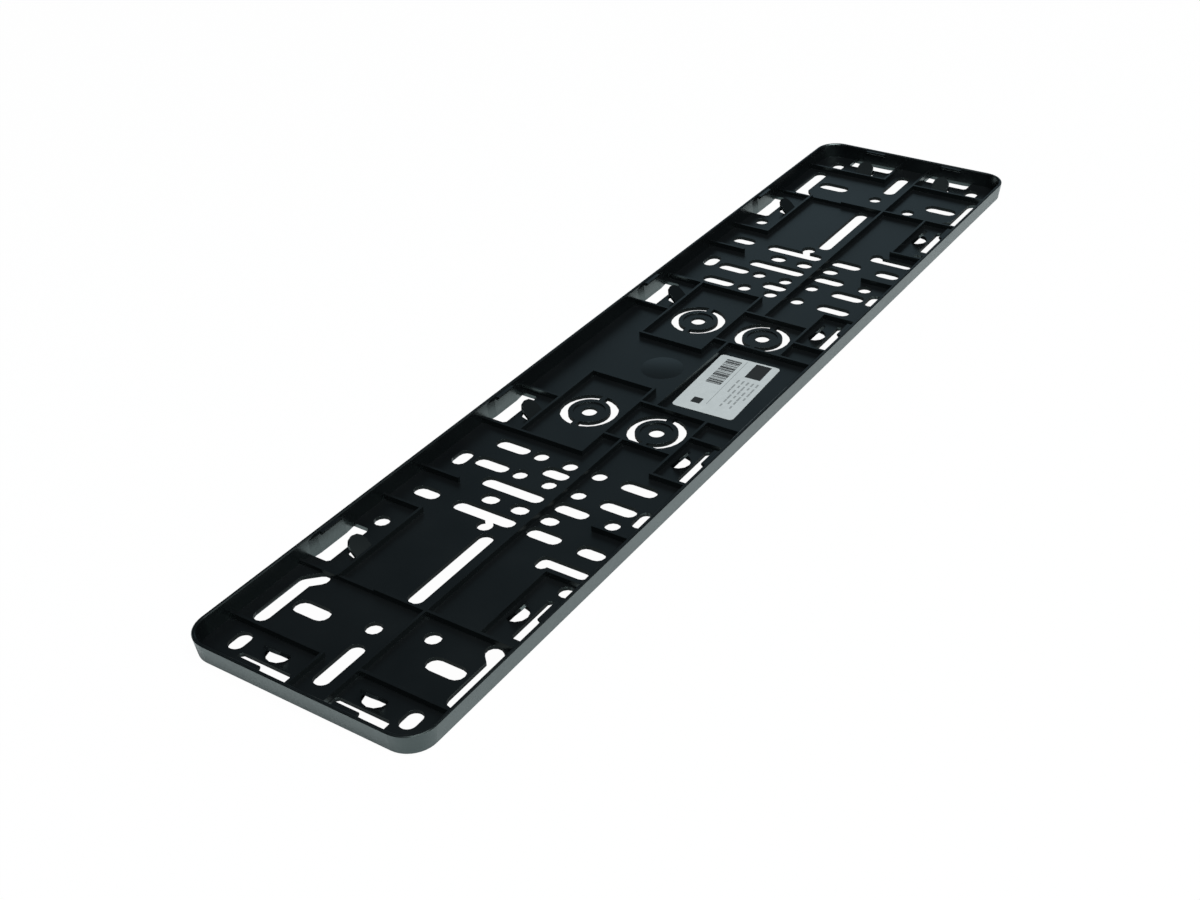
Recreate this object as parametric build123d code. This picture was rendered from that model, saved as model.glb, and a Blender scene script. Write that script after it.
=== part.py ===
from build123d import *
from math import atan, cos, degrees, radians, sin
import os

# Number plate holder: one moulded black tray that is screwed to a bumper through its slot field.
# A plate drops in from above, lies on the ribs and is held by catches on the rim and spring tongues.
# Frame: X along the plate, Y across it, +Z towards the plate; z = 0 is the face that meets the bumper.

# Tray
length = 530.0
width = 113.5
height = 9.5
corner_radius = 12.5
wall = 1.6
panel = 1.8
draft_inset = 1.2        # the foot is this much smaller than the rim on each side
rim_bevel = 0.4
foot_bevel = 0.6

# Ribs on the panel
rib_wall = 1.2
rib_rise = 2.6
rib_root = 0.6           # how far a rib runs into what it meets

# Screw holes
slot_width = 7.2
hole_diameter = 7.2
wide_slot_width = 8.0    # upright slots near the ends
corner_slot_width = 7.0
corner_slot_length = 10.5
edge_slot_width = 6.0    # slots that lie close to the near wall
cut_over = 1.0           # how far a cutter stands out of the panel
end_flats = 6            # flats that round off each end of a spare slot
tongue_flats = 6

# Plate clip: a window at the wall, a catch over it and a lanced spring tongue beside it
window_depth = 9.0
window_length = 25.5
tongue_root = 16.2       # from the wall to the tongue's root line
tongue_width = 9.6
tongue_shoulder = 3.5    # straight part between the root and the round tip
tongue_gap = 0.7         # between the tongue and its hole, on each side
tongue_wall = 1.2
tongue_angle = 46.0
tongue_depth = 0.7       # how far the tongue's root runs down into the panel
lance_shoulder = 0.5
window_corner = 1.2
catch_length = 11.5
catch_reach = 2.0
catch_drop = 0.5         # top of the catch below the rim
catch_nose = 0.8
catch_foot = 2.6
pad_length = 15.5        # thickened wall that carries the catch
pad_rise = 0.6

# Where the clips sit
inner_clip_x = 63.5
outer_clip_pitch = 20.0  # from the side hole column
end_clip_y = 23.5

# Knock-out discs round the four middle screw points
knockout_x = 48.5
knockout_y = 18.0
knockout_diameter = 27.0
knockout_gap = 3.7
knockout_web = 2.5
knockout_bore = 7.2
knockout_step_diameter = 15.0
knockout_step_depth = 0.5

# Gate mark in the middle of the panel
gate_y = 9.0
gate_diameter = 20.0
gate_floor = 12.0
gate_depth = 0.4

# Stick-on label in the bay between the lower discs
label_length = 50.5
label_width = 31.0
label_thickness = 0.15
label_corner = 2.0
label_x = 0.5
label_in = 31.0          # from the near side of the rim to the label's middle
label_turn = 2.5

# Columns of the slot field: the first from the middle, each other from the one before it
column_a = 90.0
pitch_b = 8.0
pitch_c = 8.0
pitch_d = 11.0
pitch_e = 10.0
pitch_f = 10.0
hook_pitch = 13.5
side_hole_pitch = 12.0
long_slot_pitch = 36.0   # from column f to the middle of the long slot
long_slot_length = 51.0
row_pitch = 15.2         # rows of round holes above and below the middle line
oval_length = 8.8
tall_slot_y = 11.0
tall_slot_length = 31.5
low_slot_y = -19.4
low_slot_length = 16.6
upper_slot_y = 30.2
lower_slot_y = -35.2
upright_length = 17.6
small_slot_y = 2.0
small_slot_length = 13.4
upper_edge_y = 41.5
lower_edge_y = -42.5
edge_upright_length = 13.0
edge_slot_pitch = 2.0    # from column c
edge_slot_length = 11.7
low_hole_y = -39.5
key_bump_out = 6.5
key_bump_y = 5.8
hook_top_y = -26.5
hook_foot_in = 6.5
hook_out = 2.4
bend_run = 24.0
bend_turn = 4.6
outer_hole_in = 47.5
outer_hole_y = 2.5
inner_hole_in = 54.5
inner_hole_y = -20.5

# Places measured in from the ends and the long walls
end_slot_in = 25.0
end_slot_length = 25.5
corner_slot_in_x = 16.0
corner_slot_in_y = 15.25
upright_slot_in = 43.5
bent_slot_in = 31.5
far_row_in = 12.0
near_row_in = 8.5
near_bend_in = 7.3
end_rib_in = 24.8
cross_rib_in = 63.7
cross_step_y = 15.0      # beyond this the cross rib is lower
cross_step = 0.8

# Ribs measured from the middle
box_inner_x = 21.0
bay_x = 33.3
clip_box_x = 48.0
lower_box_x = 63.7
box_outer_x = 80.5
middle_rib_y = 0.3
upper_rib_y = 34.2
lower_rib_y = -35.0
long_rib_y = -9.9
end_rib_y = 7.6
stub_pitch = 7.0         # from column d
stub_in = 22.0
far_box_pitch = 13.0     # from the far box rib to the side hole column
near_box_pitch = 4.7
bay_depth = 48.85        # from the near side of the rim to the bay's inner rib

# Values that follow from the sizes above
flare = degrees(atan(draft_inset / height))
floor_inset = draft_inset * (1 - panel / height)
half_floor_x = length / 2 - floor_inset - wall
half_floor_y = width / 2 - floor_inset - wall
column_b = column_a + pitch_b
column_c = column_b + pitch_c
column_d = column_c + pitch_d
column_e = column_d + pitch_e
column_f = column_e + pitch_f
hook_column = column_f + hook_pitch
side_hole_column = hook_column + side_hole_pitch
outer_clip_x = side_hole_column + outer_clip_pitch
bay_rib_y = bay_depth - width / 2
disc_flats = 4 * end_flats
both_sides = (-1, 1)


def tray():
    """Flared outer form less its cavity, with bevelled rim and foot."""
    foot = RectangleRounded(
        length - 2 * draft_inset, width - 2 * draft_inset, corner_radius - draft_inset
    )
    floor = RectangleRounded(2 * half_floor_x, 2 * half_floor_y, corner_radius - floor_inset - wall)
    outer = extrude(foot, amount=height, taper=-flare)
    cavity = extrude(Pos(0, 0, panel) * floor, amount=height, taper=-flare)
    body = outer - cavity
    rim_edges = body.edges().filter_by_position(Axis.Z, height, height)
    body = chamfer(rim_edges, rim_bevel)
    foot_edges = body.edges().filter_by_position(Axis.Z, 0, 0)
    return chamfer(foot_edges, foot_bevel)


def half_round(centre, radius, facing, flats):
    """Points of a half circle of a few flats, from its right-hand side round to its left as it faces."""
    turns = [radians(facing - 90 + 180 * step / flats) for step in range(flats + 1)]
    return [(centre[0] + radius * cos(turn), centre[1] + radius * sin(turn)) for turn in turns]


def spare_slot(x, y, overall, across=slot_width, turn=0):
    """Spare screw slot: its ends are a few flats, which keeps the many spare slots light."""
    reach = (overall - across) / 2
    points = half_round((reach, 0), across / 2, 0, end_flats)
    points += half_round((-reach, 0), across / 2, 180, end_flats)
    return Pos(x, y) * Rot(0, 0, turn) * make_face(Polyline(*points, close=True))


def slot_x(x, y, overall, across=slot_width):
    """Spare slot that runs along X, centred on x, y."""
    return spare_slot(x, y, overall, across)


def slot_y(x, y, overall, across=slot_width):
    """Spare slot that runs along Y, centred on x, y."""
    return spare_slot(x, y, overall, across, 90)


def spare_hole(x, y):
    """Spare round screw hole, of the same few flats."""
    points = half_round((0, 0), hole_diameter / 2, 0, end_flats)[:-1]
    points += half_round((0, 0), hole_diameter / 2, 180, end_flats)[:-1]
    return Pos(x, y) * make_face(Polyline(*points, close=True))


def main_slot(x, y, overall, across=slot_width):
    """Main fixing slot along X, with true round ends."""
    return Pos(x, y) * SlotOverall(overall, across)


def main_hole(x, y):
    """Main fixing hole, truly round."""
    return Pos(x, y) * Circle(hole_diameter / 2)


def bent_slot(wall_side, from_wall):
    """Slot along a long wall whose inner end turns towards the middle at 45 degrees."""
    run_y = wall_side * (width / 2 - from_wall)
    run_end = length / 2 - bent_slot_in - bend_run
    straight = slot_x(run_end + bend_run / 2, run_y, bend_run + slot_width)
    middle = Pos(run_end - bend_turn / 2, run_y - wall_side * bend_turn / 2)
    tail_length = bend_turn / cos(radians(45)) + slot_width
    return straight + middle * spare_slot(0, 0, tail_length, slot_width, wall_side * 45)


def key_slot():
    """Upright slot with a round bump on its outer side."""
    return slot_y(column_f, tall_slot_y, tall_slot_length) + spare_hole(column_f + key_bump_out, key_bump_y)


def hook_slot():
    """Upright slot whose top end turns a little outwards."""
    foot_y = hook_foot_in - width / 2
    upright = slot_y(hook_column, (foot_y + hook_top_y) / 2, hook_top_y - foot_y, edge_slot_width)
    hook_y = hook_top_y - edge_slot_width / 2
    return upright + slot_x(hook_column + hook_out / 2, hook_y, edge_slot_width + hook_out, edge_slot_width)


def half_field():
    """Screw slots and holes of the half with positive X."""
    half_length = length / 2
    far_row = width / 2 - far_row_in
    near_row = near_row_in - width / 2
    upright_x = half_length - upright_slot_in
    field = main_slot(half_length - end_slot_in, 0, end_slot_length)
    field += main_slot(column_f + long_slot_pitch, 0, long_slot_length)
    for side in both_sides:
        corner_y = side * (width / 2 - corner_slot_in_y)
        corner_x = half_length - corner_slot_in_x
        field += main_slot(corner_x, corner_y, corner_slot_length, corner_slot_width)
    field += bent_slot(1, far_row_in) + bent_slot(-1, near_bend_in)
    for y in (upper_slot_y, lower_slot_y):
        field += slot_y(upright_x, y, upright_length, wide_slot_width)
        field += slot_y(column_a, y, upright_length) + slot_y(column_c, y, upright_length)
    field += spare_hole(half_length - outer_hole_in, outer_hole_y)
    field += spare_hole(half_length - inner_hole_in, inner_hole_y)
    field += spare_hole(side_hole_column, far_row) + spare_hole(side_hole_column, near_row)
    field += hook_slot() + key_slot()
    for y in (upper_edge_y, lower_edge_y):
        field += slot_y(column_f, y, edge_upright_length)
    for row in (-1, 0, 1):
        field += slot_y(column_e, row * row_pitch, oval_length)
        field += spare_hole(column_c, row * row_pitch) + main_hole(column_a, row * row_pitch)
    field += slot_y(column_d, tall_slot_y, tall_slot_length) + spare_hole(column_d, low_hole_y)
    field += slot_y(column_d, low_slot_y, low_slot_length) + slot_y(column_f, low_slot_y, low_slot_length)
    field += slot_y(column_b, small_slot_y, small_slot_length)
    edge_slot_x = column_c + edge_slot_pitch
    field += slot_x(edge_slot_x, far_row, edge_slot_length)
    field += slot_x(edge_slot_x, near_row, edge_slot_length, edge_slot_width)
    return field


def disc(diameter):
    """Disc with a fixed number of flats."""
    return RegularPolygon(diameter / 2, disc_flats)


def knockout():
    """Ring gap broken by two webs, round a bored disc."""
    ring = disc(knockout_diameter) - disc(knockout_diameter - 2 * knockout_gap)
    return ring - Rectangle(2 * knockout_diameter, knockout_web) + Circle(knockout_bore / 2)


def through(sketch):
    """Prism of a sketch that passes right through the panel."""
    return extrude(Pos(0, 0, -cut_over) * sketch, amount=panel + 2 * cut_over)


def clip_places():
    """Each clip's place on the wall, turned so that +Y points at the wall."""
    places = []
    for side in both_sides:
        for x in (inner_clip_x, outer_clip_x):
            places.append(Pos(side * x, half_floor_y))
            places.append(Pos(side * x, -half_floor_y) * Rot(0, 0, 180))
        places.append(Pos(half_floor_x, side * end_clip_y) * Rot(0, 0, -90))
        places.append(Pos(-half_floor_x, side * end_clip_y) * Rot(0, 0, 90))
    return places


def flap(radius, shoulder, tail):
    """Flap with a half-round end; its root line is y = 0 and it reaches along +Y."""
    points = half_round((0, shoulder), radius, 90, tongue_flats)
    return make_face(Polyline(*points, (-radius, -tail), (radius, -tail), close=True))


def clip_cuts():
    """Window against the wall and the hole under the tongue."""
    opening = Pos(0, -window_depth / 2) * Rectangle(window_length, window_depth)
    inner_corners = opening.vertices().sort_by(Axis.Y)[:2]
    opening = chamfer(inner_corners, window_corner)
    lance = Pos(0, -tongue_root) * flap(tongue_width / 2 + tongue_gap, lance_shoulder, 0)
    return through(opening) + through(lance)


def clip_tongue():
    """Spring tongue that rises from the panel towards the wall."""
    angle = radians(tongue_angle)
    base = Plane(
        origin=(0, -tongue_root, panel / 2),
        x_dir=(1, 0, 0),
        z_dir=(0, -sin(angle), cos(angle)),
    )
    return extrude(base * flap(tongue_width / 2, tongue_shoulder, tongue_depth), amount=tongue_wall)


def along_wall(profile, run):
    """Prism of a profile, given as places across the wall and heights, centred along the wall."""
    section = Plane(origin=(-run / 2, 0, 0), x_dir=(0, 1, 0), z_dir=(1, 0, 0))
    return extrude(section * make_face(Polyline(*profile, close=True)), amount=run)


def clip_catch():
    """Thickened wall behind the window with a ledge at its top that hooks over the plate."""
    slope = draft_inset / height
    top = height - catch_drop
    face_at_top = slope * (top - panel)
    tip = face_at_top - catch_reach
    back = face_at_top + wall / 2
    nose = top - catch_nose
    foot = top - catch_foot
    ledge = ((back, top), (tip, top), (tip, nose), (face_at_top, foot), (back, foot))
    pad_face = slope * (nose - panel) - pad_rise
    pad = ((wall / 2, 0), (-pad_rise, 0), (-pad_rise, panel), (pad_face, nose), (back, nose))
    return along_wall(ledge, catch_length) + along_wall(pad, pad_length)


def rib_along_x(x_from, x_to, y):
    """Rib between two X places."""
    middle = Pos((x_from + x_to) / 2, y, panel + rib_rise / 2)
    return middle * Box(abs(x_to - x_from) + rib_wall, rib_wall, rib_rise)


def rib_along_y(x, y_from, y_to, rise=rib_rise):
    """Rib between two Y places."""
    middle = Pos(x, (y_from + y_to) / 2, panel + rise / 2)
    return middle * Box(rib_wall, abs(y_to - y_from) + rib_wall, rise)


def half_ribs():
    """Ribs of the half with positive X; those that meet a wall run into it by rib_root."""
    far_wall = half_floor_y + rib_root / 2
    near_wall = -far_wall
    end_wall = half_floor_x + rib_root / 2
    end_rib_x = length / 2 - end_rib_in
    cross_rib_x = length / 2 - cross_rib_in
    far_box_x = side_hole_column - far_box_pitch
    near_box_x = side_hole_column - near_box_pitch
    stub_x = column_d + stub_pitch
    return [
        rib_along_x(box_inner_x, box_outer_x, middle_rib_y),
        rib_along_x(box_inner_x, box_outer_x, upper_rib_y),
        rib_along_y(box_inner_x, middle_rib_y, upper_rib_y),
        rib_along_y(box_outer_x, middle_rib_y, far_wall),
        rib_along_y(clip_box_x, upper_rib_y, far_wall),
        rib_along_y(bay_x, middle_rib_y, near_wall),
        rib_along_y(lower_box_x, middle_rib_y, lower_rib_y),
        rib_along_x(bay_x, box_outer_x, lower_rib_y),
        rib_along_y(clip_box_x, lower_rib_y, near_wall),
        rib_along_y(box_outer_x, lower_rib_y, near_wall),
        rib_along_x(lower_box_x, end_wall, long_rib_y),
        rib_along_y(stub_x, width / 2 - stub_in, far_wall),
        rib_along_y(stub_x, stub_in - width / 2, near_wall),
        rib_along_x(far_box_x, cross_rib_x, upper_rib_y),
        rib_along_y(far_box_x, upper_rib_y, far_wall),
        rib_along_x(near_box_x, cross_rib_x, lower_rib_y),
        rib_along_y(near_box_x, lower_rib_y, near_wall),
        rib_along_y(cross_rib_x, near_wall, cross_step_y),
        rib_along_y(cross_rib_x, cross_step_y, far_wall, rib_rise - cross_step),
        rib_along_y(end_rib_x, end_rib_y, far_wall),
        rib_along_y(end_rib_x, long_rib_y, near_wall),
        rib_along_x(end_rib_x, end_wall, end_rib_y),
    ]


def gate_mark():
    """Shallow dish left by the moulding gate."""
    mouth = Pos(0, gate_y, panel) * disc(gate_diameter)
    dish_slope = degrees(atan((gate_diameter - gate_floor) / 2 / gate_depth))
    return extrude(mouth, amount=-gate_depth, taper=dish_slope)


def holder():
    """The whole moulding."""
    body = tray()
    field = half_field()
    field += mirror(field, about=Plane.YZ)
    body -= through(field)
    discs = GridLocations(2 * knockout_x, 2 * knockout_y, 2, 2)
    body -= [place * through(knockout()) for place in discs]
    step = Pos(0, 0, panel - knockout_step_depth) * disc(knockout_step_diameter)
    body -= [place * extrude(step, amount=panel) for place in discs]
    body -= gate_mark()
    places = clip_places()
    body -= [place * clip_cuts() for place in places]
    ribs = half_ribs()
    ribs += [mirror(rib, about=Plane.YZ) for rib in ribs]
    ribs.append(rib_along_x(-bay_x, bay_x, bay_rib_y))
    body += ribs
    body += [place * (clip_tongue() + clip_catch()) for place in places]
    return body


def label():
    """Thin sticker that lies on the panel in the bay."""
    sheet = extrude(RectangleRounded(label_length, label_width, label_corner), amount=label_thickness)
    return Pos(label_x, label_in - width / 2, panel) * Rot(0, 0, label_turn) * sheet


os.makedirs("parts", exist_ok=True)
export_step(holder(), "parts/holder.step")
export_step(label(), "parts/label.step")
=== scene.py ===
"""Looks of a moulded number plate holder: a black tray with a blank sticker, on a white table."""
import logging
import math
from dataclasses import dataclass
from enum import Enum

import bpy
import numpy as np
from mathutils import Matrix, Vector

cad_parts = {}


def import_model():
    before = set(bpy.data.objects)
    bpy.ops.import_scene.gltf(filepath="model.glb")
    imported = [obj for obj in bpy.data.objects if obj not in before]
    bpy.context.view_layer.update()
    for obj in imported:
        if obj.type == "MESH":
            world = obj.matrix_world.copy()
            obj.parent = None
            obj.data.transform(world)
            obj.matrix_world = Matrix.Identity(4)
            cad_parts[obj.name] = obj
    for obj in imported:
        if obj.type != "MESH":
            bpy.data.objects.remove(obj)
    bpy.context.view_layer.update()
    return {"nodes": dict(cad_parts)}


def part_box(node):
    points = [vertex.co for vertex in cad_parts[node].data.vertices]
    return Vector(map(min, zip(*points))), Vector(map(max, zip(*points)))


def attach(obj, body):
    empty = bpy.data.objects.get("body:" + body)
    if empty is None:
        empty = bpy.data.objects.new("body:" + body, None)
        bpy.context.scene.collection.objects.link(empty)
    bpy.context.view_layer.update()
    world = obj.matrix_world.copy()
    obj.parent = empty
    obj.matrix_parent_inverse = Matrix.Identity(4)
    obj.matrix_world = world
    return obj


LOG = logging.getLogger("plate_holder")
MM = 0.001
PHOTO_WIDTH_PX = 1200
SENSOR_MM = 36.0
WHITE = (1.0, 1.0, 1.0, 1.0)
PRISM_CORNERS = 4


class InkTone(Enum):
    """Printing inks on the sticker, as sRGB hex values."""

    BLACK = "#181b1c"
    GREY = "#7d8384"


def linear(hex_colour: str) -> tuple[float, float, float, float]:
    """Turns an sRGB hex colour into linear light, by the standard's own curve.

    Args:
        hex_colour: Colour as "#rrggbb".

    Returns:
        Linear red, green and blue, and an alpha of 1.
    """
    channels = [int(hex_colour[i:i + 2], 16) / 255 for i in (1, 3, 5)]
    bent = [c / 12.92 if c <= 0.04045 else ((c + 0.055) / 1.055) ** 2.4 for c in channels]
    return (*bent, 1.0)


def add_node(
    tree: bpy.types.NodeTree, kind: str, inputs: dict[str | int, object] | None = None, **settings: object
) -> bpy.types.Node:
    """Adds a node with its settings, and gives each named input a value or a link.

    Args:
        tree: Node tree that gets the node.
        kind: Blender's name of the node type.
        inputs: Socket name or number to a value, or to the output socket to link from.
        settings: Node properties to set.

    Returns:
        The new node.
    """
    node = tree.nodes.new(kind)
    for key, value in settings.items():
        setattr(node, key, value)
    for key, value in (inputs or {}).items():
        if isinstance(value, bpy.types.NodeSocket):
            tree.links.new(value, node.inputs[key])
        else:
            node.inputs[key].default_value = value
    return node


def empty_material(name: str) -> tuple[bpy.types.Material, bpy.types.NodeTree]:
    """Makes a node material with no nodes.

    Args:
        name: Material name.

    Returns:
        The material and its node tree.
    """
    material = bpy.data.materials.new(name)
    material.use_nodes = True
    material.node_tree.nodes.clear()
    return material, material.node_tree


def mottled_film(
    name: str, tones: tuple[tuple[float, ...], ...], patch_mm: float, detail: float, roughness: float
) -> bpy.types.Material:
    """Makes a dull film whose colour wanders between two tones, by one noise on Object coordinates.

    Args:
        name: Material name.
        tones: Linear colours at the noise's low and high ends.
        patch_mm: Size of a patch.
        detail: How many finer noises are laid over the first.
        roughness: Roughness of the surface.

    Returns:
        The material.
    """
    material, tree = empty_material(name)
    place = add_node(tree, "ShaderNodeTexCoord").outputs["Object"]
    patches = add_node(
        tree, "ShaderNodeTexNoise", {"Vector": place, "Scale": 1 / (patch_mm * MM), "Detail": detail}
    )
    ramp = add_node(tree, "ShaderNodeValToRGB", {"Fac": patches.outputs["Fac"]})
    for element, tone in zip(ramp.color_ramp.elements, tones):
        element.color = tone
    surface = add_node(
        tree, "ShaderNodeBsdfPrincipled", {"Base Color": ramp.outputs["Color"], "Roughness": roughness}
    )
    add_node(tree, "ShaderNodeOutputMaterial", {"Surface": surface.outputs["BSDF"]})
    return material


def mesh_object(name: str, vertices: np.ndarray, *faces: np.ndarray) -> bpy.types.Object:
    """Makes a mesh object at the origin from whole arrays.

    Args:
        name: Object and mesh name.
        vertices: Points in metres, one row each.
        faces: Arrays of vertex numbers, each with one row of equal length per face.

    Returns:
        The object, linked into the scene.
    """
    mesh = bpy.data.meshes.new(name)
    mesh.from_pydata(vertices.tolist(), [], [face for group in faces for face in group.tolist()])
    mesh.update()
    item = bpy.data.objects.new(name, mesh)
    bpy.context.scene.collection.objects.link(item)
    return item


def ring_quads(number: np.ndarray) -> np.ndarray:
    """Joins each ring of points to the next one by quads, all the way round.

    Args:
        number: Vertex numbers, one row per ring, from the lowest ring up and counter-clockwise from above.

    Returns:
        One row of four vertex numbers for each quad.
    """
    beside = np.roll(number, -1, axis=1)
    return np.stack([number[:-1], beside[:-1], beside[1:], number[1:]], axis=-1).reshape(-1, 4)


def prism_faces(rings: int, count: int) -> np.ndarray:
    """Gives the faces of equal four-cornered prisms whose points follow each other in one list.

    Args:
        rings: Rings of points in a prism, in the order that ring_quads takes.
        count: Number of prisms.

    Returns:
        One row of four vertex numbers for each face: sides, lower end and upper end.
    """
    number = np.arange(PRISM_CORNERS * rings).reshape(rings, PRISM_CORNERS)
    faces = np.vstack([ring_quads(number), number[0, ::-1], number[-1]])
    first = number.size * np.arange(count)
    return (faces[None] + first[:, None, None]).reshape(-1, PRISM_CORNERS)


@dataclass(frozen=True)
class MouldedPolypropylene:
    """Black polypropylene, injection moulded in a spark-eroded tool.

    Carbon black leaves almost no colour of its own, so the eye reads the satin sheen: a fine even grain
    breaks up reflections, and slow clouds of slightly different gloss follow how the melt filled the tool.
    """

    name: str = "black_polypropylene_moulded"
    colour: str = "#090a0c"
    cloud_colour: str = "#060709"
    ior: float = 1.6
    sheen_level: float = 0.7  # grain throws more light back than a flat face, so the mirror share is raised
    sheen_tint: str = "#e6fffd"
    roughness_low: float = 0.27
    roughness_high: float = 0.33
    cloud_mm: float = 45.0
    cloud_detail: float = 3.0
    cloud_roughness: float = 0.55
    cloud_band: tuple[float, float] = (0.3, 0.7)  # values of the cloud noise at its two ends
    grain_mm: float = 0.5  # the tool's grain is about 0.1 mm; drawn coarser so that it shows
    grain_height_mm: float = 0.004
    grain_detail: float = 2.0
    grain_roughness: float = 0.6
    edge_radius_mm: float = 0.06
    edge_samples: int = 4
    wall_rise: float = 0.125  # how far the normal of a drafted inner wall points up
    wall_band: float = 0.05
    wall_fall: float = 0.18

    def material(self) -> bpy.types.Material:
        """Builds the material: two noises on Object coordinates drive colour, gloss and grain.

        Returns:
            The plastic material.
        """
        material, tree = empty_material(self.name)
        place = add_node(tree, "ShaderNodeTexCoord").outputs["Object"]
        cloud = add_node(
            tree, "ShaderNodeTexNoise",
            {"Vector": place, "Scale": 1 / (self.cloud_mm * MM), "Detail": self.cloud_detail,
             "Roughness": self.cloud_roughness},
        )
        grain = add_node(
            tree, "ShaderNodeTexNoise",
            {"Vector": place, "Scale": 1 / (self.grain_mm * MM), "Detail": self.grain_detail,
             "Roughness": self.grain_roughness},
        )
        colour = self.tint(tree, cloud.outputs["Fac"])
        gloss = add_node(
            tree, "ShaderNodeMapRange",
            {"Value": cloud.outputs["Fac"], "From Min": self.cloud_band[0], "From Max": self.cloud_band[1],
             "To Min": self.roughness_low, "To Max": self.roughness_high},
        )
        edge = add_node(
            tree, "ShaderNodeBevel", {"Radius": self.edge_radius_mm * MM}, samples=self.edge_samples
        )
        bump = add_node(
            tree, "ShaderNodeBump",
            {"Height": grain.outputs["Fac"], "Strength": 1.0, "Distance": self.grain_height_mm * MM,
             "Normal": self.upright(tree, edge.outputs["Normal"])},
        )
        surface = add_node(
            tree, "ShaderNodeBsdfPrincipled",
            {"Base Color": colour, "Roughness": gloss.outputs["Result"], "IOR": self.ior,
             "Specular IOR Level": self.sheen_level, "Specular Tint": linear(self.sheen_tint),
             "Normal": bump.outputs["Normal"]},
        )
        add_node(tree, "ShaderNodeOutputMaterial", {"Surface": surface.outputs["BSDF"]})
        return material

    def upright(self, tree: bpy.types.NodeTree, normal: bpy.types.NodeSocket) -> bpy.types.NodeSocket:
        """Shades the long inner walls as if they leaned over a little, so that they mirror the table.

        A face counts as drafted where its normal rises by wall_rise, give or take wall_band. That rise is cut
        by wall_fall, in the measure that the face looks along Y.

        Args:
            tree: Node tree of the material.
            normal: Normal to start from.

        Returns:
            The normal socket.
        """
        part = add_node(tree, "ShaderNodeSeparateXYZ", {"Vector": normal})
        drafted = add_node(
            tree, "ShaderNodeMath", {0: part.outputs["Z"], 1: self.wall_rise, 2: self.wall_band},
            operation="COMPARE",
        )
        along_y = add_node(tree, "ShaderNodeMath", {0: part.outputs["Y"]}, operation="ABSOLUTE")
        share = add_node(
            tree, "ShaderNodeMath", {0: drafted.outputs[0], 1: along_y.outputs[0]}, operation="MULTIPLY"
        )
        rise = add_node(
            tree, "ShaderNodeMath", {0: share.outputs[0], 1: -self.wall_fall, 2: part.outputs["Z"]},
            operation="MULTIPLY_ADD",
        )
        whole = add_node(
            tree, "ShaderNodeCombineXYZ",
            {"X": part.outputs["X"], "Y": part.outputs["Y"], "Z": rise.outputs[0]},
        )
        unit = add_node(tree, "ShaderNodeVectorMath", {0: whole.outputs["Vector"]}, operation="NORMALIZE")
        return unit.outputs["Vector"]

    def tint(self, tree: bpy.types.NodeTree, cloud: bpy.types.NodeSocket) -> bpy.types.NodeSocket:
        """Gives the colour between the two blacks, by the slow clouds.

        Args:
            tree: Node tree of the material.
            cloud: Noise value.

        Returns:
            The colour socket.
        """
        ramp = add_node(tree, "ShaderNodeValToRGB", {"Fac": cloud})
        tones = (self.cloud_colour, self.colour)
        for element, position, tone in zip(ramp.color_ramp.elements, self.cloud_band, tones):
            element.position = position
            element.color = linear(tone)
        return ramp.outputs["Color"]


@dataclass(frozen=True)
class CoatedLabelPaper:
    """White coated paper sticker: nearly even, with a faint paper cloud and a dull sheen."""

    name: str = "white_coated_label_paper"
    colour: str = "#bcc4c5"
    shade: str = "#adb5b6"
    roughness: float = 0.5
    fibre_mm: float = 3.0
    fibre_detail: float = 4.0

    def material(self) -> bpy.types.Material:
        """Builds the paper, whose colour wanders between two greys."""
        tones = (linear(self.shade), linear(self.colour))
        return mottled_film(self.name, tones, self.fibre_mm, self.fibre_detail, self.roughness)


@dataclass(frozen=True)
class PrintingInk:
    """Thermal print on the sticker: a thin dull film, a little uneven where the print head skips."""

    tone: InkTone
    roughness: float = 0.55
    speckle_mm: float = 0.8
    speckle_detail: float = 2.0
    speckle_gain: float = 1.35  # how much lighter the ink is where it is thinnest

    def material(self) -> bpy.types.Material:
        """Builds the ink, which a fine noise lightens a little.

        Returns:
            The ink material.
        """
        name = "thermal_print_" + self.tone.name.lower()
        ink = linear(self.tone.value)
        thin = (*(self.speckle_gain * c for c in ink[:3]), 1.0)
        return mottled_film(name, (ink, thin), self.speckle_mm, self.speckle_detail, self.roughness)


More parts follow.
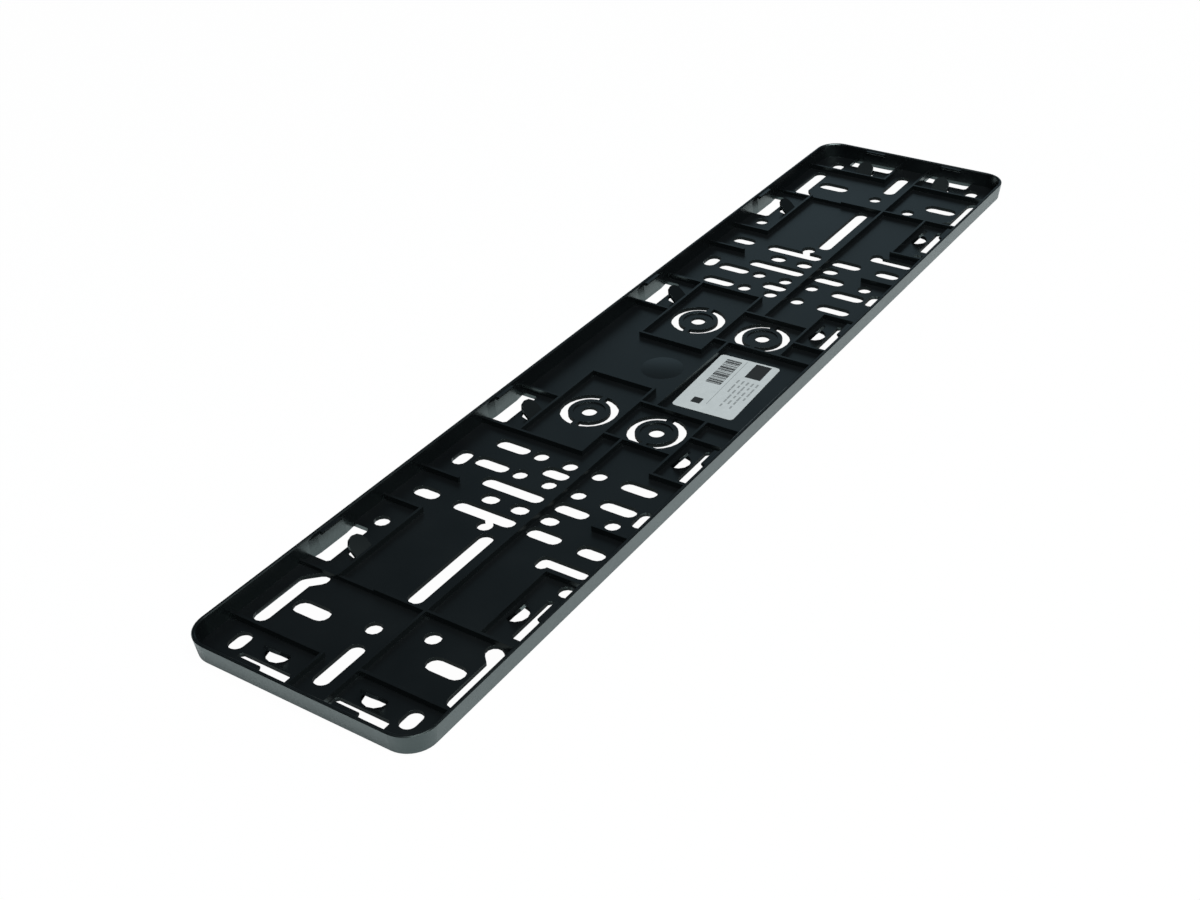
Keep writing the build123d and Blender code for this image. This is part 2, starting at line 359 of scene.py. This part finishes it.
@dataclass(frozen=True)
class WhiteTable:
    """White table top that the lens sees as paper white, and the plastic as it is lit.

    Under the tray the table is painted with shade: a darker grey rectangle stands in for the tray's own
    shade, so the walls of the screw slots mirror little light. Along the rim, where the clip windows stand
    open, it is as bright as outside.
    """

    painted_shade_half: tuple[float, float]  # half sides of the rectangle of painted shade, in metres
    name: str = "white_table_top"
    colour: str = "#edf5f6"
    # grey of the painted shade under the tray
    shade: str = "#606262"
    fade_mm: float = 1.0
    roughness: float = 0.9
    white_share: float = 0.98  # the rest keeps the object's shadow

    def material(self) -> bpy.types.Material:
        """Builds the table: the lens gets mostly plain white, and all other rays a matt surface with painted
        shade under the tray.

        Returns:
            The table material.
        """
        material, tree = empty_material(self.name)
        path = add_node(tree, "ShaderNodeLightPath")
        share = add_node(
            tree, "ShaderNodeMath", {0: path.outputs["Is Camera Ray"], 1: self.white_share},
            operation="MULTIPLY",
        )
        matt = add_node(
            tree, "ShaderNodeBsdfPrincipled", {"Base Color": self.tint(tree), "Roughness": self.roughness}
        )
        white = add_node(tree, "ShaderNodeEmission", {"Color": WHITE, "Strength": 1.0})
        mix = add_node(
            tree, "ShaderNodeMixShader",
            {0: share.outputs[0], 1: matt.outputs["BSDF"], 2: white.outputs["Emission"]},
        )
        add_node(tree, "ShaderNodeOutputMaterial", {"Surface": mix.outputs["Shader"]})
        return material

    def tint(self, tree: bpy.types.NodeTree) -> bpy.types.NodeSocket:
        """Gives painted shade, a darker grey, inside a rectangle about the origin, and white outside it.

        A place's distance outside is the larger of |x| and |y| less the rectangle's half sides.

        Args:
            tree: Node tree of the material.

        Returns:
            The colour socket.
        """
        place = add_node(tree, "ShaderNodeTexCoord").outputs["Object"]
        across = add_node(tree, "ShaderNodeVectorMath", {0: place}, operation="ABSOLUTE")
        beyond = add_node(
            tree, "ShaderNodeVectorMath", {0: across.outputs["Vector"], 1: (*self.painted_shade_half, 0.0)},
            operation="SUBTRACT",
        )
        sides = add_node(tree, "ShaderNodeSeparateXYZ", {"Vector": beyond.outputs["Vector"]})
        outside = add_node(
            tree, "ShaderNodeMath", {0: sides.outputs["X"], 1: sides.outputs["Y"]}, operation="MAXIMUM"
        )
        fade = add_node(
            tree, "ShaderNodeMapRange",
            {"Value": outside.outputs[0], "From Min": 0.0, "From Max": self.fade_mm * MM},
        )
        ramp = add_node(tree, "ShaderNodeValToRGB", {"Fac": fade.outputs["Result"]})
        for element, tone in zip(ramp.color_ramp.elements, (self.shade, self.colour)):
            element.color = linear(tone)
        return ramp.outputs["Color"]


@dataclass(frozen=True)
class GateDome:
    """Low round dome over the moulding gate, which fills the dish that the solid has there."""

    place_mm: tuple[float, float] = (0.0, 9.0)
    diameter_mm: float = 20.3  # just over the dish's mouth
    rise_mm: float = 0.42
    mouth_mm: float = 20.0
    floor_mm: float = 12.0
    dish_mm: float = 0.4
    rings: int = 20
    steps: int = 96

    def profile(self) -> tuple[np.ndarray, np.ndarray]:
        """Gives the outline from the dish's floor up to just off the axis.

        The underside is the dish's flat floor and straight flank; the top rises as one less the square of the
        radius over the edge's radius.

        Returns:
            Radii and heights over the panel, in millimetres.
        """
        edge = self.diameter_mm / 2
        share = np.linspace(1.0, 0.0, self.rings, endpoint=False)
        radius = np.concatenate([[self.floor_mm / 2, self.mouth_mm / 2], edge * share])
        height = np.concatenate([[-self.dish_mm, 0.0], self.rise_mm * (1 - share ** 2)])
        return radius, height

    def build(self, panel_top: float, material: bpy.types.Material) -> None:
        """Turns the profile about the gate's axis and closes it at both poles.

        Args:
            panel_top: Height of the panel's upper face in metres.
            material: Plastic to make it of.
        """
        radius, height = self.profile()
        turn = np.linspace(0.0, 2 * np.pi, self.steps, endpoint=False)
        x = self.place_mm[0] + np.outer(radius, np.cos(turn))
        y = self.place_mm[1] + np.outer(radius, np.sin(turn))
        z = np.broadcast_to(height[:, None], x.shape)
        poles = [[*self.place_mm, height[0]], [*self.place_mm, self.rise_mm]]
        vertices = np.vstack([np.stack([x, y, z], axis=-1).reshape(-1, 3), poles]) * MM
        vertices[:, 2] += panel_top
        number = np.arange(x.size).reshape(x.shape)
        beside = np.roll(number, -1, axis=1)
        under = np.stack([beside[0], number[0], np.full(self.steps, x.size)], axis=-1)
        over = np.stack([number[-1], beside[-1], np.full(self.steps, x.size + 1)], axis=-1)
        piece = mesh_object("gate_dome", vertices, ring_quads(number), under, over)
        piece.data.materials.append(material)
        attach(piece, "root")
        LOG.info("%s made with %d faces", piece.name, len(piece.data.polygons))


@dataclass(frozen=True)
class ClipRamps:
    """Ramps that lead from the rim wall onto the thicker pad behind each plate clip.

    Across the wall, places count from the wall's inner face at the panel; along it, from the clip's middle.
    """

    wall_in_mm: float = 2.5225  # from the rim's outside to the wall's inner face at the panel
    long_clips_mm: tuple[float, float] = (63.5, 182.5)
    end_clips_mm: float = 23.5
    pad_half_mm: float = 7.75
    window_half_mm: float = 12.75
    pad_rise_mm: float = 0.6
    top_mm: float = 8.2
    draft: float = 1.2 / 9.5  # how far the wall leans out, over its height
    sink_mm: float = 0.05  # how far a ramp's back stands in the wall

    def corners(self, panel_mm: float) -> np.ndarray:
        """Gives one clip's two ramps: wedges whose face falls evenly from the pad to the window's end.

        Each wedge has four corners at three heights, and leans out with the wall above the panel. The second
        wedge is the first one mirrored along the wall, with its corners in the other order.

        Args:
            panel_mm: Height of the panel's upper face.

        Returns:
            Places along the wall, across it and up, by ramp, height and corner.
        """
        up = np.array([0.0, panel_mm, self.top_mm])[:, None]
        lean = self.draft * np.maximum(up - panel_mm, 0.0)
        along = np.array([self.pad_half_mm, self.window_half_mm, self.window_half_mm, self.pad_half_mm])
        across = np.array([-self.pad_rise_mm, 0.0, self.sink_mm, self.sink_mm])
        wedge = np.stack(np.broadcast_arrays(along, lean + across, up), axis=-1)
        return np.stack([wedge, (wedge * [-1.0, 1.0, 1.0])[:, ::-1]])

    def clips(self, rim: Vector) -> tuple[np.ndarray, np.ndarray]:
        """Gives each clip's place on the wall and the way out of the tray there.

        Args:
            rim: Upper corner of the tray's box in metres.

        Returns:
            Places in millimetres and unit vectors, one row for each clip.
        """
        long_x = np.array([side * x for x in self.long_clips_mm for side in (-1, 1)])
        end_y = np.array([-self.end_clips_mm, self.end_clips_mm])
        half_x = rim.x / MM - self.wall_in_mm
        half_y = rim.y / MM - self.wall_in_mm
        places = []
        ways = []
        for side in (-1.0, 1.0):
            places.append(np.column_stack([long_x, np.full(long_x.size, side * half_y)]))
            ways.append(np.tile([0.0, side], (long_x.size, 1)))
            places.append(np.column_stack([np.full(end_y.size, side * half_x), end_y]))
            ways.append(np.tile([side, 0.0], (end_y.size, 1)))
        return np.vstack(places), np.vstack(ways)

    def build(self, panel_top: float, rim: Vector, material: bpy.types.Material) -> None:
        """Sets the two ramps at every clip, as one piece.

        Args:
            panel_top: Height of the panel's upper face in metres.
            rim: Upper corner of the tray's box in metres.
            material: Plastic to make them of.
        """
        wedges = self.corners(panel_top / MM)
        places, ways = self.clips(rim)
        sideways = np.stack([ways[:, 1], -ways[:, 0]], axis=-1)
        flat = (
            places[:, None, None, None]
            + wedges[None, ..., 0:1] * sideways[:, None, None, None]
            + wedges[None, ..., 1:2] * ways[:, None, None, None]
        )
        up = np.broadcast_to(wedges[None, ..., 2:], (*flat.shape[:-1], 1))
        vertices = np.concatenate([flat, up], axis=-1).reshape(-1, 3) * MM
        sides, rings = wedges.shape[:2]
        piece = mesh_object("clip_ramps", vertices, prism_faces(rings, sides * len(places)))
        piece.data.materials.append(material)
        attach(piece, "root")
        LOG.info("%s made with %d faces", piece.name, len(piece.data.polygons))


@dataclass
class Tray:
    """The moulding, whose shape is the frame's own, the dome over its gate and the ramps at its clips."""

    node: bpy.types.Object
    finish: MouldedPolypropylene = MouldedPolypropylene()
    thin_finish: MouldedPolypropylene = MouldedPolypropylene(
        "black_polypropylene_thin_edged", edge_radius_mm=0.01
    )
    gate: GateDome = GateDome()
    ramps: ClipRamps = ClipRamps()

    def dress(self, panel_top: float) -> None:
        """Puts the plastic on the moulding, the dome on its panel and the ramps on its wall.

        Args:
            panel_top: Height of the panel's upper face in metres.
        """
        self.node.data.materials.clear()
        self.node.data.materials.append(self.finish.material())
        LOG.info("%s dressed in %s", self.node.name, self.finish.name)
        thin = self.thin_finish.material()
        self.gate.build(panel_top, thin)
        self.ramps.build(panel_top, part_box(self.node.name)[1], thin)


@dataclass
class Sticker:
    """Blank sticker with plain printed fields that spell nothing.

    A field is a rectangle: left, bottom, right and top in millimetres from the sticker's middle.
    """

    node: bpy.types.Object
    turn_deg: float = 2.5
    ink_mm: float = 0.02
    bar_count: int = 26
    bar_pitch_mm: float = 0.9
    bar_share: float = 0.56  # mean width of a bar, in pitches
    bar_waves: tuple[tuple[float, float], ...] = ((0.22, 2.4), (0.2, 0.9))  # pitches, and radians per bar
    bars_left_mm: float = -0.5
    bars_span_mm: tuple[float, float] = (3.2, 11.0)
    words: tuple[int, ...] = (3, 6, 5, 6, 4)  # strokes in each line of small print
    word_pitch_mm: float = 4.4
    word_share: float = 0.7  # mean length of a stroke, in pitches
    word_swing: float = 0.2
    word_turns: tuple[float, float] = (3.1, 1.7)  # radians per line and per stroke
    lines_right_mm: float = 7.5
    lines_top_mm: float = -2.2
    line_pitch_mm: float = 2.45
    stroke_mm: float = 0.9
    rule_mm: tuple[float, float, float, float] = (-18.0, 1.1, 24.0, 1.4)
    blocks_mm: tuple[tuple[float, float, float, float], ...] = (
        (11.0, -11.5, 24.0, -3.5),
        (-19.3, 4.2, -14.6, 8.9),
    )
    paper: CoatedLabelPaper = CoatedLabelPaper()

    def dress(self) -> None:
        """Puts the paper on the sticker and prints its fields."""
        self.node.data.materials.clear()
        self.node.data.materials.append(self.paper.material())
        LOG.info("%s dressed in %s", self.node.name, self.paper.name)
        self.print_fields("label_bars", self.bars(), InkTone.BLACK)
        self.print_fields("label_lines", self.lines(), InkTone.GREY)
        self.print_fields("label_block", np.array(self.blocks_mm), InkTone.BLACK)

    def bars(self) -> np.ndarray:
        """Upright bars whose widths rise and fall by two sines of their number, one quick and one slow.

        Returns:
            One field per bar.
        """
        number = np.arange(self.bar_count)
        left = self.bars_left_mm + self.bar_pitch_mm * number
        sway = sum(swing * np.sin(rate * number) for swing, rate in self.bar_waves)
        width = self.bar_pitch_mm * (self.bar_share + sway)
        low, high = (np.full(self.bar_count, edge) for edge in self.bars_span_mm)
        return np.stack([left, low, left + width, high], axis=1)

    def lines(self) -> np.ndarray:
        """Lines of short strokes that end at one right edge, under a thin rule; lengths follow a sine.

        Returns:
            One field per stroke, and the rule.
        """
        line, word = np.meshgrid(np.arange(len(self.words)), np.arange(max(self.words)), indexing="ij")
        sway = self.word_swing * np.sin(self.word_turns[0] * line + self.word_turns[1] * word)
        length = self.word_pitch_mm * (self.word_share + sway)
        right = self.lines_right_mm - self.word_pitch_mm * word
        top = self.lines_top_mm - self.line_pitch_mm * line
        strokes = np.stack([right - length, top - self.stroke_mm, right, top], axis=-1)
        kept = word < np.array(self.words)[:, None]
        return np.vstack([strokes[kept], self.rule_mm])

    def print_fields(self, name: str, fields: np.ndarray, tone: InkTone) -> None:
        """Makes one piece of thin slabs on the paper, each corner turned with the sticker.

        Args:
            name: Piece name.
            fields: Rectangles in millimetres from the sticker's middle.
            tone: Ink to print with.
        """
        low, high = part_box(self.node.name)
        middle = (low + high) / 2
        heights = np.array([0.0, self.ink_mm * MM])
        corner_x = np.tile(fields[:, [0, 2, 2, 0]], heights.size) * MM
        corner_y = np.tile(fields[:, [1, 1, 3, 3]], heights.size) * MM
        turn = math.radians(self.turn_deg)
        x = middle.x + corner_x * math.cos(turn) - corner_y * math.sin(turn)
        y = middle.y + corner_x * math.sin(turn) + corner_y * math.cos(turn)
        z = np.broadcast_to(high.z + np.repeat(heights, PRISM_CORNERS), x.shape)
        vertices = np.stack([x, y, z], axis=-1).reshape(-1, 3)
        piece = mesh_object(name, vertices, prism_faces(heights.size, len(fields)))
        piece.data.materials.append(PrintingInk(tone).material())
        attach(piece, "root")
        LOG.info("%s printed with %d fields", name, len(fields))


@dataclass(frozen=True)
class Softbox:
    """A square studio lamp, with its place, aim and side in metres and its power in watts."""

    name: str
    place: tuple[float, float, float]
    aim: tuple[float, float, float]
    size: float
    power: float

    def build(self) -> None:
        """Puts the lamp in the scene, turned to its aim."""
        lamp = bpy.data.lights.new(self.name, "AREA")
        lamp.shape = "SQUARE"
        lamp.size = self.size
        lamp.energy = self.power
        item = bpy.data.objects.new(self.name, lamp)
        item.location = self.place
        item.rotation_euler = (Vector(self.aim) - Vector(self.place)).to_track_quat("-Z", "Y").to_euler()
        bpy.context.scene.collection.objects.link(item)


@dataclass(frozen=True)
class PhotoCamera:
    """The photograph's view, worked out from the rim's edges."""

    place_mm: tuple[float, float, float] = (-548.1, -338.5, 385.9)
    aim_mm: tuple[float, float, float] = (-71.0, -2.7, 0.0)
    roll_deg: float = -2.82
    focal_px: float = 1592.5
    near_clip: float = 0.01

    def build(self) -> None:
        """Makes the camera and the scene's view of it."""
        place = Vector(self.place_mm) * MM
        ahead = (Vector(self.aim_mm) * MM - place).normalized()
        right = ahead.cross(Vector((0, 0, 1))).normalized()
        right = Matrix.Rotation(math.radians(-self.roll_deg), 3, ahead) @ right
        up = right.cross(ahead)
        lens = bpy.data.cameras.new("photo_camera")
        lens.sensor_fit = "HORIZONTAL"
        lens.sensor_width = SENSOR_MM
        lens.lens = self.focal_px / PHOTO_WIDTH_PX * SENSOR_MM
        lens.clip_start = self.near_clip
        lens.dof.use_dof = False
        item = bpy.data.objects.new("photo_camera", lens)
        turn = Matrix((right, up, -ahead)).transposed()
        item.matrix_world = Matrix.Translation(place) @ turn.to_4x4()
        bpy.context.scene.collection.objects.link(item)
        bpy.context.scene.camera = item


@dataclass
class Studio:
    """Table, lamp, sky and camera."""

    table_half: float = 4.0
    table_drop_mm: float = 0.3  # keeps the table clear of the tray's foot
    clip_depth_mm: float = 9.4  # the table's painted shade stops this much short of the rim, so the table is as bright as outside there
    sky: str = "#cde8f8"
    dim_sky: float = 0.041
    far_glow: float = 0.4
    far_side: tuple[float, float, float] = (0.847, 0.469, 0.25)
    glow_edge: float = 0.9  # cosine of the angle from the far side at which the glow ends
    camera: PhotoCamera = PhotoCamera()
    lamp: Softbox = Softbox("key_softbox", (-0.5, -1.2, 2.75), (0.0, 0.0, 0.0), 2.4, 126.0)

    def build(self) -> None:
        """Builds the table, lamp, sky and camera."""
        half = self.table_half
        across = np.array([[-half, -half], [half, -half], [half, half], [-half, half]])
        corners = np.column_stack([across, np.full(len(across), -self.table_drop_mm * MM)])
        table = mesh_object("table", corners, np.array([[0, 1, 2, 3]]))
        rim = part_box("holder")[1]
        clip = self.clip_depth_mm * MM
        # painted shade under the tray, ending clip short of the rim
        table.data.materials.append(WhiteTable((rim.x - clip, rim.y - clip)).material())
        self.lamp.build()
        self.light_sky()
        self.camera.build()
        bpy.context.scene.view_settings.view_transform = "Standard"

    def light_sky(self) -> None:
        """Gives the room a dim even light and a glow beyond the far end; the lens sees plain white.

        The glow rises as the square of how near a direction comes to the far side.
        """
        world = bpy.data.worlds.new("studio_room")
        world.use_nodes = True
        tree = world.node_tree
        tree.nodes.clear()
        way = add_node(tree, "ShaderNodeTexCoord").outputs["Generated"]
        facing = add_node(
            tree, "ShaderNodeVectorMath", {0: way, 1: self.far_side}, operation="DOT_PRODUCT"
        )
        near = add_node(
            tree, "ShaderNodeMapRange",
            {"Value": facing.outputs["Value"], "From Min": self.glow_edge, "From Max": 1.0},
        )
        square = add_node(
            tree, "ShaderNodeMath", {0: near.outputs["Result"], 1: near.outputs["Result"]},
            operation="MULTIPLY",
        )
        level = add_node(
            tree, "ShaderNodeMath", {0: square.outputs[0], 1: self.far_glow, 2: self.dim_sky},
            operation="MULTIPLY_ADD",
        )
        room = add_node(
            tree, "ShaderNodeBackground", {"Color": linear(self.sky), "Strength": level.outputs[0]}
        )
        white = add_node(tree, "ShaderNodeBackground", {"Color": WHITE, "Strength": 1.0})
        lens = add_node(tree, "ShaderNodeLightPath").outputs["Is Camera Ray"]
        seen = add_node(
            tree, "ShaderNodeMixShader",
            {0: lens, 1: room.outputs["Background"], 2: white.outputs["Background"]},
        )
        add_node(tree, "ShaderNodeOutputWorld", {"Surface": seen.outputs["Shader"]})
        bpy.context.scene.world = world


def main() -> None:
    """Loads the frame, dresses it and sets the studio."""
    logging.basicConfig(level=logging.INFO, format="%(name)s: %(message)s")
    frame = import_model()
    Tray(frame["nodes"]["holder"]).dress(panel_top=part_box("label")[0].z)
    Sticker(frame["nodes"]["label"]).dress()
    Studio().build()


if __name__ == "__main__":
    main()
